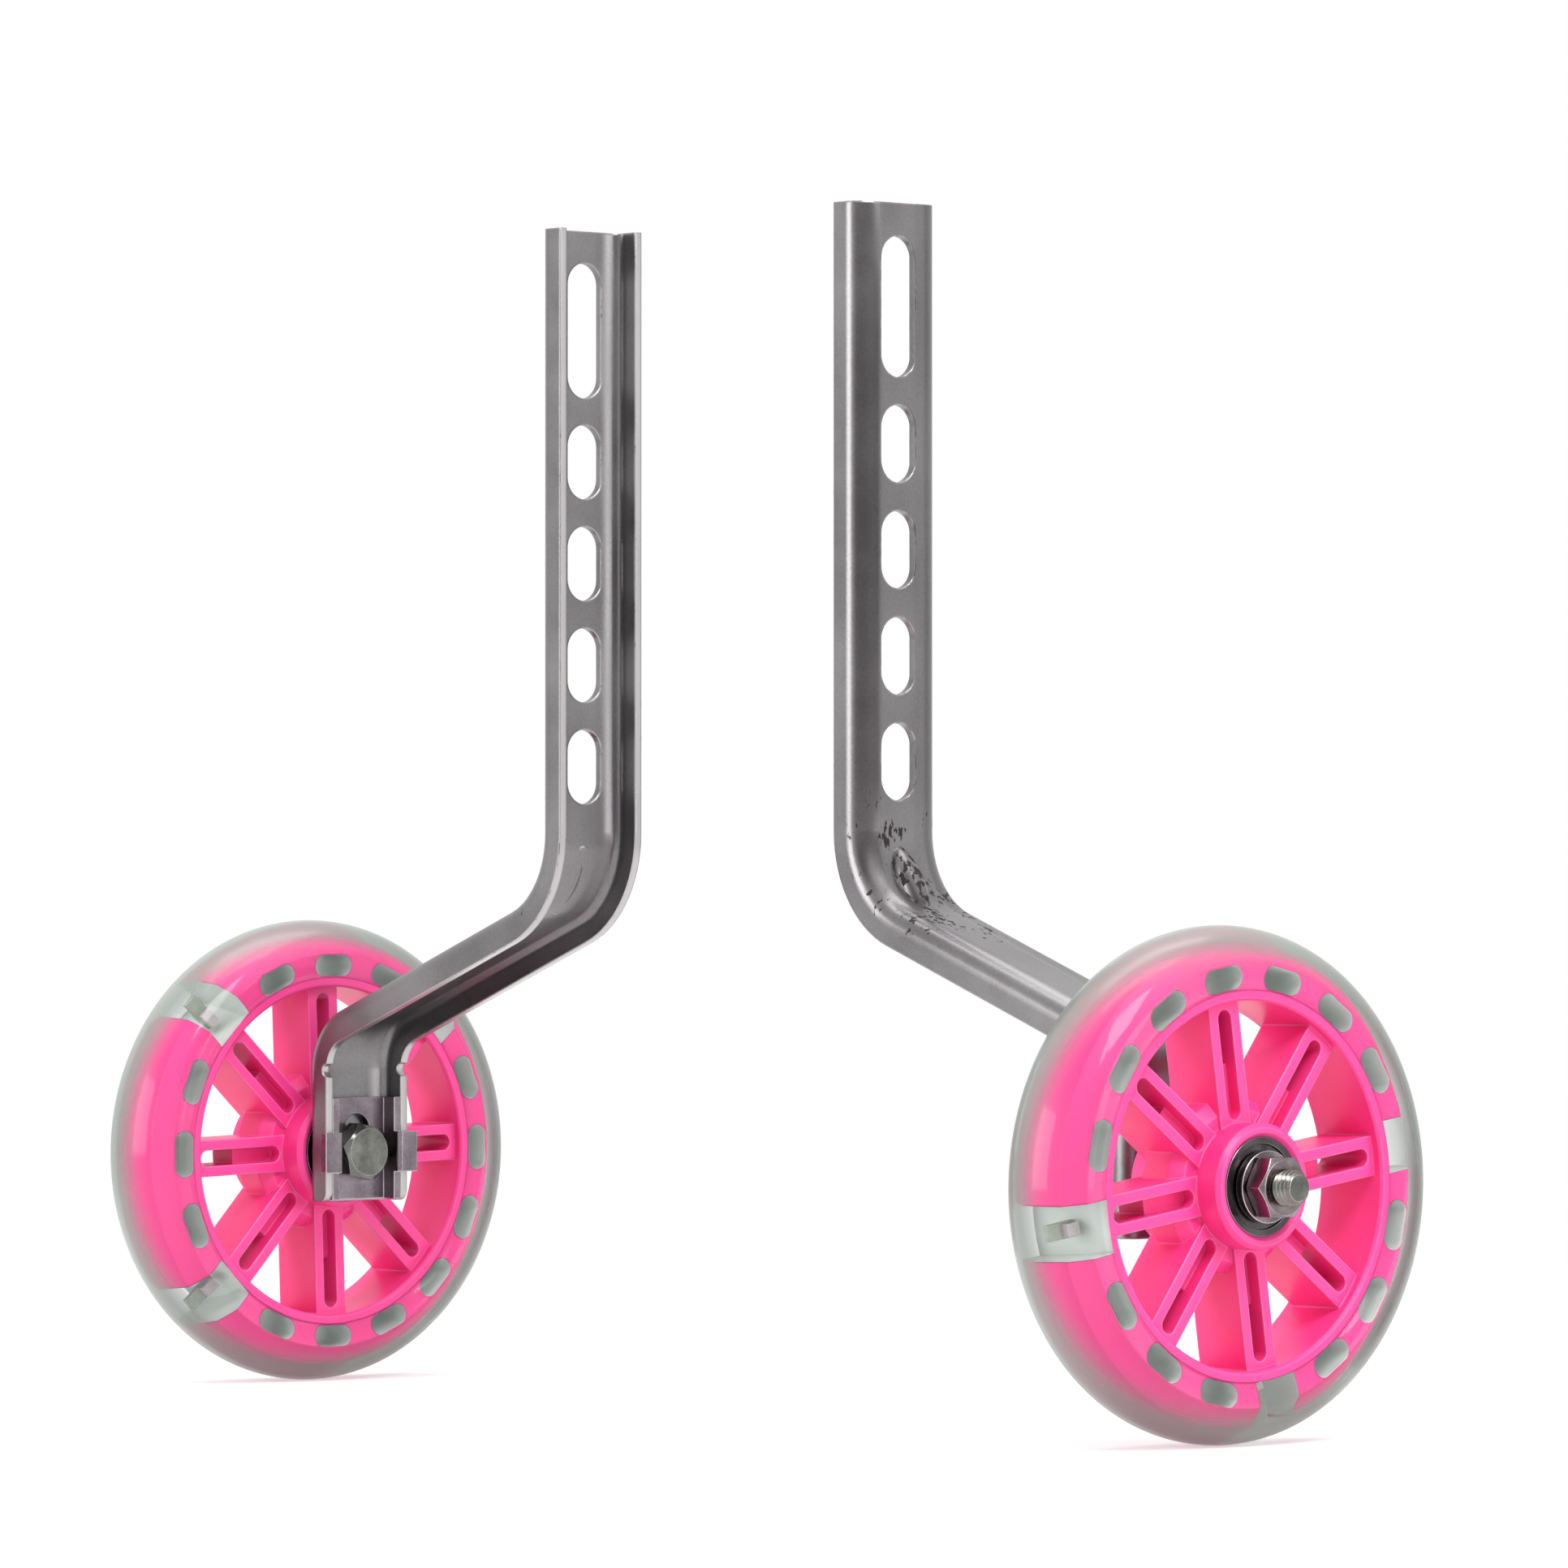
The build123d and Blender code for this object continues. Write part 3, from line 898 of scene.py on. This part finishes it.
# Stamped bearing shield, dark between two painted highlight rings at its edges
SHIELD_STEEL = Metal(
    "stamped_shield_steel",
    body="#5a5658",
    shade="#3c383a",
    edge="#bdb8b9",
    roughness=(0.2, 0.32),
    edge_mm=0.25,
    cloud_mm=4.0,
    grain_mm=0.3,
)
# Glass-fibre board, pale and matt, and cast lamp resin, milky and smooth
BOARD = SmallPart("glass_fibre_board", "#b9bdb2", "#9aa093", 0.55, 1.2)
LAMP = SmallPart("lamp_resin", "#dcd5d7", "#bfa9b3", 0.3, 0.6)


# ---------------------------------------------------------------- pieces


@dataclass
class ClearTyre:
    """One clear tyre: a cast ring with its hollow for the coloured core. Sizes in metres."""

    side: Side
    width: float = 25 * MM
    radius: float = 57.5 * MM
    bulge_radius: float = 48.5 * MM
    bed_radius: float = 43.1 * MM  # a little inside the rim's band, which hides it
    bite: float = 0.02 * MM  # how far the tyre reaches into the core, so that no gap shows
    seam: float = 0.005 * MM  # first and last section of the spin meet within this
    section_points: int = 96
    turns: int = 192
    smooth_deg: float = 35.0

    def build(self) -> bpy.types.Object:
        """Model the tyre round its CAD place.

        Returns:
            The finished tyre, hollowed where the core runs.
        """
        low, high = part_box(self.side.prefix + "tyre")
        centre = (low + high) / 2
        deselect()
        bpy.ops.mesh.primitive_circle_add(
            vertices=self.section_points,
            radius=1.0,
            location=centre + Vector((0, 0, self.bulge_radius)),
            rotation=(math.pi / 2, 0, 0),
        )
        ring = bpy.context.object
        ring.scale = (self.width / 2, self.radius - self.bulge_radius, 1.0)
        bpy.ops.object.transform_apply(location=True, rotation=True, scale=True)
        bed = centre.z + self.bed_radius
        with editing(ring):
            bpy.ops.mesh.bisect(plane_co=(0, 0, bed), plane_no=(0, 0, 1), clear_inner=True)
            select_points(ring, lambda p: p.z < bed + ON_PLANE)
            bpy.ops.mesh.edge_face_add()
            bpy.ops.mesh.select_all(action="SELECT")
            bpy.ops.mesh.spin(steps=self.turns, angle=2 * math.pi, center=centre, axis=(1, 0, 0))
            bpy.ops.mesh.select_all(action="SELECT")
            bpy.ops.mesh.remove_doubles(threshold=self.seam)
            bpy.ops.mesh.normals_make_consistent(inside=False)
        cut(ring, self.core_copy(), "DIFFERENCE")
        return settle(ring, self.side.prefix + "clear_tyre", self.smooth_deg)

    def core_copy(self) -> bpy.types.Object:
        """Copy the rim, a hair smaller, so that the cast tyre bites on all of its core.

        Returns:
            The solid to take out of the tyre.
        """
        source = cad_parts[self.side.prefix + "rim"]
        core = bpy.data.objects.new("core", source.data.copy())
        bpy.context.scene.collection.objects.link(core)
        with editing(core):
            bpy.ops.mesh.remove_doubles(threshold=MERGE)
            bpy.ops.transform.shrink_fatten(value=-self.bite)
        return core


@dataclass
class AxleBolt:
    """One M8 hexagon bolt with its real thread past the nut. Sizes in metres."""

    side: Side
    diameter: float = 7.9 * MM
    pitch: float = 1.25 * MM
    thread_depth: float = 0.72 * MM
    thread_length: float = 15 * MM
    thread_steps: int = 48
    run_turns: int = 2  # turns wound past each end of the thread, then cut off
    crest_spare: float = 0.08 * MM  # crests are wound this much too high, then turned to size
    tip_chamfer: float = 1.0 * MM
    head_height: float = 5.3 * MM
    across_flats: float = 13 * MM
    head_chamfer: float = 1.4 * MM
    head_turn_deg: float = 12.0
    head_lap: float = 0.2 * MM  # how far the shank reaches into the head
    thread_lap: float = 0.4 * MM  # and into the thread
    bar_points: int = 64
    lathe_points: int = 96
    lathe_share: float = 1.001  # the lathe's round clears the hexagon's corners by this
    lathe_run: float = 0.5 * MM  # and it runs on past the plain end by this
    smooth_deg: float = 30.0

    def build(self) -> bpy.types.Object:
        """Model head, shank and thread and join them.

        Returns:
            The finished bolt in its CAD place.
        """
        low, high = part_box(self.side.prefix + "axle_bolt")
        out = self.side.value
        head_end, tip = (low.x, high.x) if out > 0 else (high.x, low.x)
        axis = (low + high) / 2
        head = self.head(head_end, axis, out)
        seat = head_end + out * self.head_height
        start = tip - out * self.thread_length
        shank = self.bar(
            self.bar_points,
            self.diameter / 2,
            seat - out * self.head_lap,
            start + out * self.thread_lap,
            axis,
        )
        thread = self.thread(start, tip, axis, out)
        pick(thread, head, shank)
        bpy.ops.object.join()
        return settle(thread, self.side.prefix + "threaded_bolt", self.smooth_deg)

    def bar(
        self, points: int, radius: float, start: float, end: float, axis: Vector
    ) -> bpy.types.Object:
        """Make a bar along X.

        Args:
            points: Corners of its section.
            radius: Distance of the corners from the axis.
            start: X of one end.
            end: X of the other end.
            axis: A point on the bolt's axis.

        Returns:
            The bar.
        """
        deselect()
        bpy.ops.mesh.primitive_cylinder_add(
            vertices=points,
            radius=radius,
            depth=abs(end - start),
            location=((start + end) / 2, axis.y, axis.z),
            rotation=(0, math.pi / 2, 0),
        )
        bpy.ops.object.transform_apply(location=True, rotation=True, scale=True)
        return bpy.context.object

    def taper(
        self, bar: bpy.types.Object, start: float, end: float, axis: Vector, share: float
    ) -> None:
        """Draw one end of a bar out to a smaller face.

        Args:
            bar: Bar along X.
            start: X of the end that is drawn out.
            end: X of the smaller face.
            axis: A point on the bolt's axis.
            share: Size of that face against the end.
        """
        with editing(bar, everything=False):
            select_points(bar, lambda p: abs(p.x - start) < ON_PLANE)
            bpy.ops.mesh.extrude_region_move(TRANSFORM_OT_translate={"value": (end - start, 0, 0)})
            bpy.ops.transform.resize(value=(1, share, share), center_override=(end, axis.y, axis.z))

    def head(self, head_end: float, axis: Vector, out: int) -> bpy.types.Object:
        """Make the hexagon head, its outer corners turned off to a round face.

        Args:
            head_end: X of the head's round face.
            axis: A point on the bolt's axis.
            out: Direction from head to tip along X.

        Returns:
            The head.
        """
        corner = self.across_flats / math.sqrt(3)
        seat = head_end + out * self.head_height
        hexagon = self.bar(6, corner, head_end, seat, axis)
        # a corner of the CAD head points along Y, then turns with the bolt
        with editing(hexagon):
            bpy.ops.transform.rotate(
                value=-math.radians(self.head_turn_deg * out),
                orient_axis="X",
                center_override=((head_end + seat) / 2, axis.y, axis.z),
            )
        face = self.across_flats / 2 - self.head_chamfer / 2
        shoulder = head_end + out * self.head_chamfer
        lathe = self.bar(
            self.lathe_points,
            corner * self.lathe_share,
            shoulder,
            seat + out * self.lathe_run,
            axis,
        )
        self.taper(lathe, shoulder, head_end, axis, face / corner)
        cut(hexagon, lathe, "INTERSECT")
        return hexagon

    def thread(self, start: float, tip: float, axis: Vector, out: int) -> bpy.types.Object:
        """Wind a V thread, close its ends and turn its crests and tip to size.

        Args:
            start: X where the thread begins, inside the nut.
            tip: X of the bolt's tip.
            axis: A point on the bolt's axis.
            out: Direction from head to tip along X.

        Returns:
            The threaded length.
        """
        low, high = sorted((start, tip))
        crest = self.diameter / 2 + self.crest_spare
        root = self.diameter / 2 - self.thread_depth
        deselect()
        # the upper half of a diamond is the V
        bpy.ops.mesh.primitive_circle_add(
            vertices=4,
            radius=1.0,
            location=(low - self.run_turns * self.pitch, axis.y, axis.z + root),
            rotation=(math.pi / 2, 0, 0),
        )
        ridge = bpy.context.object
        ridge.scale = (self.pitch / 2, crest - root, 1.0)
        bpy.ops.object.transform_apply(location=True, rotation=True, scale=True)
        with editing(ridge):
            select_points(ridge, lambda p: p.z < axis.z + root - ON_PLANE)
            bpy.ops.mesh.delete(type="VERT")
        pick(ridge)
        wind = ridge.modifiers.new("wind", "SCREW")
        pivot = bpy.data.objects.new("pivot", None)
        bpy.context.scene.collection.objects.link(pivot)
        pivot.location = (low, axis.y, axis.z)
        wind.object, wind.axis, wind.screw_offset = pivot, "X", self.pitch
        wind.steps = wind.render_steps = self.thread_steps
        wind.iterations = math.ceil((high - low) / self.pitch) + 2 * self.run_turns
        wind.use_merge_vertices = True
        bpy.ops.object.modifier_apply(modifier=wind.name)
        bpy.data.objects.remove(pivot)
        with editing(ridge):
            bpy.ops.mesh.remove_doubles(threshold=MERGE)
            for x, normal in ((low, -1), (high, 1)):
                bpy.ops.mesh.select_all(action="SELECT")
                bpy.ops.mesh.bisect(
                    plane_co=(x, 0, 0), plane_no=(normal, 0, 0), use_fill=True, clear_outer=True
                )
            bpy.ops.mesh.select_all(action="SELECT")
            bpy.ops.mesh.normals_make_consistent(inside=False)
        shoulder = tip - out * self.tip_chamfer
        lathe = self.bar(
            self.bar_points,
            self.diameter / 2,
            start - out * self.lathe_run,
            shoulder,
            axis,
        )
        self.taper(lathe, shoulder, tip, axis, 1 - 2 * self.tip_chamfer / self.diameter)
        cut(ridge, lathe, "INTERSECT")
        return ridge


# ---------------------------------------------------------------- units


@dataclass
class TrainingWheelUnit:
    """One side of the pair: CAD nodes to dress and the pieces modelled for it."""

    side: Side
    finishes: dict[str, bpy.types.Material]

    def dress(self) -> None:
        """Give every CAD node of this unit its finish."""
        finish_of = {
            "arm": "arm",
            "axle_clip": "clip",
            "axle_bolt": "bolt",
            "arm_spacer": "nut",
            "bearing_tube": "bolt",
            "nut_washer": "nut",
            "axle_nut": "nut",
            "rim": "rim",
            "tyre": "tyre",
            "light_boards": "board",
            "lamps": "lamp",
        }
        for where in ("inner", "outer"):
            finish_of[f"{where}_bearing_inner_race"] = "bearing"
            finish_of[f"{where}_bearing_outer_race"] = "bearing"
            finish_of[f"{where}_bearing_shields"] = "shield"
        for name, finish in finish_of.items():
            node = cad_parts[self.side.prefix + name]
            node.material_slots[0].material = self.finishes[finish]
            log.info("%s dressed in %s", node.name, self.finishes[finish].name)

    def build(self) -> None:
        """Model the tyre and the bolt, and set them in the frame."""
        prefix = self.side.prefix
        tyre = ClearTyre(self.side).build()
        tyre.data.materials.clear()
        tyre.data.materials.append(self.finishes["tyre"])
        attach(tyre, self.side.wheel_body)
        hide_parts(prefix + "tyre")
        bolt = AxleBolt(self.side).build()
        bolt.data.materials.clear()
        bolt.data.materials.append(self.finishes["bolt"])
        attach(bolt, "frame")
        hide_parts(prefix + "axle_bolt")
        for piece in (tyre, bolt):
            log.info("%s modelled with %d faces", piece.name, len(piece.data.polygons))


# ---------------------------------------------------------------- studio


@dataclass(frozen=True)
class SoftLamp:
    """One square lamp. Sizes in metres."""

    name: str
    place: tuple[float, float, float]
    size: float
    watts: float

    def hang(self, aim_at: tuple[float, float, float]) -> None:
        """Hang the lamp and point it.

        Args:
            aim_at: Where its axis goes.
        """
        light = bpy.data.lights.new(self.name, "AREA")
        light.shape, light.size, light.energy = "SQUARE", self.size, self.watts
        lamp = bpy.data.objects.new(self.name, light)
        bpy.context.scene.collection.objects.link(lamp)
        lamp.location = self.place
        aim = Vector(aim_at) - Vector(self.place)
        lamp.rotation_euler = aim.to_track_quat("-Z", "Y").to_euler()


@dataclass
class Studio:
    """Pale floor, soft lights, white surround and the camera at the photograph's angle."""

    azimuth_deg: float = 49.5
    elevation_deg: float = -0.45
    distance: float = 2.0
    look_at: tuple[float, float, float] = (0.0, 0.0, 0.14)
    aside: float = 0.0115  # the camera's aim lies this far right of that point
    above: float = 0.0077  # and this far above it
    focal_px: float = 10438.0
    image_px: float = 1932.0
    sensor_mm: float = 36.0
    clip: tuple[float, float] = (0.05, 50.0)
    lamps: tuple[SoftLamp, ...] = (
        SoftLamp("key", (1.25, -0.35, 1.55), 0.8, 24.0),
        SoftLamp("side", (1.75, 0.46, 0.35), 0.8, 8.5),
        SoftLamp("fill", (-0.6, -1.75, 0.5), 1.0, 18.0),
        SoftLamp("top", (-0.3, 0.2, 1.9), 1.4, 22.0),
    )
    lamps_aim: tuple[float, float, float] = (0.0, 0.0, 0.1)
    surround_light: float = 0.55  # what the white surround gives to light, against its look
    floor_size: float = 12.0
    floor_tones: tuple[str, str] = ("#cfcfcf", "#d3d3d3")
    floor_mottle_mm: float = 180.0
    floor_lift: float = 0.5  # added to the floor's look only, so that it comes close to white
    floor_fade: tuple[float, float] = (0.3, 0.8)  # where the floor turns to plain white
    flag_from: tuple[float, float, float] = (0.058, 0.0, 0.215)  # right arm's upper leg
    flag_azimuth_deg: float = 65.0
    flag_away: float = 0.1
    flag_size: tuple[float, float] = (0.25, 0.16)
    flag_cloth: str = "#868386"

    def build(self) -> None:
        """Set up everything round the object."""
        self.world()
        self.floor()
        for lamp in self.lamps:
            lamp.hang(self.lamps_aim)
        self.flag()
        self.camera()
        bpy.context.scene.view_settings.view_transform = "Standard"

    def surround(self, tree: Tree) -> tuple[Socket, Socket]:
        """Part what is seen, also mirrored or through the tyre, from what only gives light.

        Args:
            tree: Node tree of the surround or the floor.

        Returns:
            A mask of the rays that see, and the strength of the white for every ray.
        """
        ray = add_node(tree, "LightPath").outputs
        seen = ray["Is Camera Ray"]
        for kind in ("Is Glossy Ray", "Is Transmission Ray"):
            seen = add_node(tree, "Math", {}, {0: seen, 1: ray[kind]}, use_clamp=True).outputs[0]
        strength = add_node(
            tree, "MapRange", {"To Min": self.surround_light, "To Max": 1.0}, {"Value": seen}
        ).outputs["Result"]
        return seen, strength

    def world(self) -> None:
        """White where it is seen, plain grey light elsewhere."""
        world = bpy.data.worlds.new("studio")
        bpy.context.scene.world = world
        world.use_nodes = True
        tree = world.node_tree
        tree.nodes.clear()
        strength = self.surround(tree)[1]
        light = add_node(
            tree, "Background", {"Color": (1, 1, 1, 1)}, {"Strength": strength}
        ).outputs[0]
        add_node(tree, "OutputWorld", {}, {"Surface": light})

    def floor(self) -> None:
        """Lay a wide pale floor that keeps the object's shadow."""
        deselect()
        bpy.ops.mesh.primitive_plane_add(size=self.floor_size)
        floor = bpy.context.object
        floor.name = "studio_floor"
        material, tree = new_material("pale_studio_floor")
        place = add_node(tree, "TexCoord").outputs["Object"]
        mottle = add_node(
            tree, "TexNoise", {"Scale": per_metre(self.floor_mottle_mm)}, {"Vector": place}
        ).outputs["Fac"]
        colour = add_node(
            tree,
            "Mix",
            {6: linear(self.floor_tones[0]), 7: linear(self.floor_tones[1])},
            {0: mottle},
            data_type="RGBA",
        ).outputs[2]
        matt = add_node(tree, "BsdfDiffuse", {}, {"Color": colour})
        seen, plain = self.surround(tree)
        lift = add_node(
            tree, "Math", {1: self.floor_lift}, {0: seen}, operation="MULTIPLY"
        ).outputs[0]
        glow = add_node(tree, "Emission", {}, {"Strength": lift})
        near = add_node(tree, "AddShader", {}, {0: matt.outputs[0], 1: glow.outputs[0]})
        # away from the object the floor is the same white as the surround
        far = add_node(tree, "Emission", {}, {"Strength": plain})
        away = add_node(tree, "VectorMath", {}, {0: place}, operation="LENGTH").outputs["Value"]
        fade = add_node(
            tree,
            "MapRange",
            {"From Min": self.floor_fade[0], "From Max": self.floor_fade[1]},
            {"Value": away},
            interpolation_type="SMOOTHSTEP",
        ).outputs["Result"]
        both = add_node(tree, "MixShader", {}, {0: fade, 1: near.outputs[0], 2: far.outputs[0]})
        add_node(tree, "OutputMaterial", {}, {"Surface": both.outputs[0]})
        floor.data.materials.append(material)

    def flag(self) -> None:
        """Hang a grey flag close by the right arm, for the dark band along its corner."""
        turn = math.radians(self.flag_azimuth_deg)
        near = Vector((math.sin(turn), -math.cos(turn), 0)) * self.flag_away
        deselect()
        bpy.ops.mesh.primitive_plane_add(
            size=1.0,
            location=Vector(self.flag_from) + near,
            rotation=(math.pi / 2, 0, turn),
        )
        flag = bpy.context.object
        flag.name = "studio_flag"
        flag.scale = (*self.flag_size, 1.0)
        bpy.ops.object.transform_apply(location=True, rotation=True, scale=True)
        material, tree = new_material("grey_flag_cloth")
        cloth = add_node(tree, "BsdfDiffuse", {"Color": linear(self.flag_cloth)})
        add_node(tree, "OutputMaterial", {}, {"Surface": cloth.outputs[0]})
        flag.data.materials.append(material)
        flag.visible_camera = flag.visible_diffuse = flag.visible_shadow = False
        flag.visible_transmission = flag.visible_volume_scatter = False

    def camera(self) -> None:
        """Put the camera where the photograph's view of the pair fits best."""
        turn, rise = math.radians(self.azimuth_deg), math.radians(self.elevation_deg)
        back = Vector(
            (
                math.sin(turn) * math.cos(rise),
                -math.cos(turn) * math.cos(rise),
                math.sin(rise),
            )
        )
        right = Vector((math.cos(turn), math.sin(turn), 0))
        up = back.cross(right)
        eye = Vector(self.look_at) + back * self.distance
        target = Vector(self.look_at) + right * self.aside + up * self.above
        data = bpy.data.cameras.new("camera")
        data.sensor_width = self.sensor_mm
        data.lens = self.focal_px * self.sensor_mm / self.image_px
        data.clip_start, data.clip_end = self.clip
        camera = bpy.data.objects.new("camera", data)
        bpy.context.scene.collection.objects.link(camera)
        camera.location = eye
        camera.rotation_euler = (target - eye).to_track_quat("-Z", "Y").to_euler()
        bpy.context.scene.camera = camera


def main() -> None:
    """Build the pair's looks."""
    logging.basicConfig(level=logging.INFO, format="%(message)s")
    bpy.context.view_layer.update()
    finishes = {
        "arm": ARM_LACQUER.build(),
        "clip": CLIP_ZINC.build(),
        "bolt": BOLT_ZINC.build(),
        "nut": NUT_PLATE.build(),
        "bearing": BEARING_STEEL.build(),
        "shield": SHIELD_STEEL.build(),
        "rim": PinkPolypropylene().build(),
        "tyre": ClearVinyl().build(),
        "board": BOARD.build(),
        "lamp": LAMP.build(),
    }
    for side in Side:
        unit = TrainingWheelUnit(side, finishes)
        unit.dress()
        unit.build()
    Studio().build()


if __name__ == "__main__":
    main()
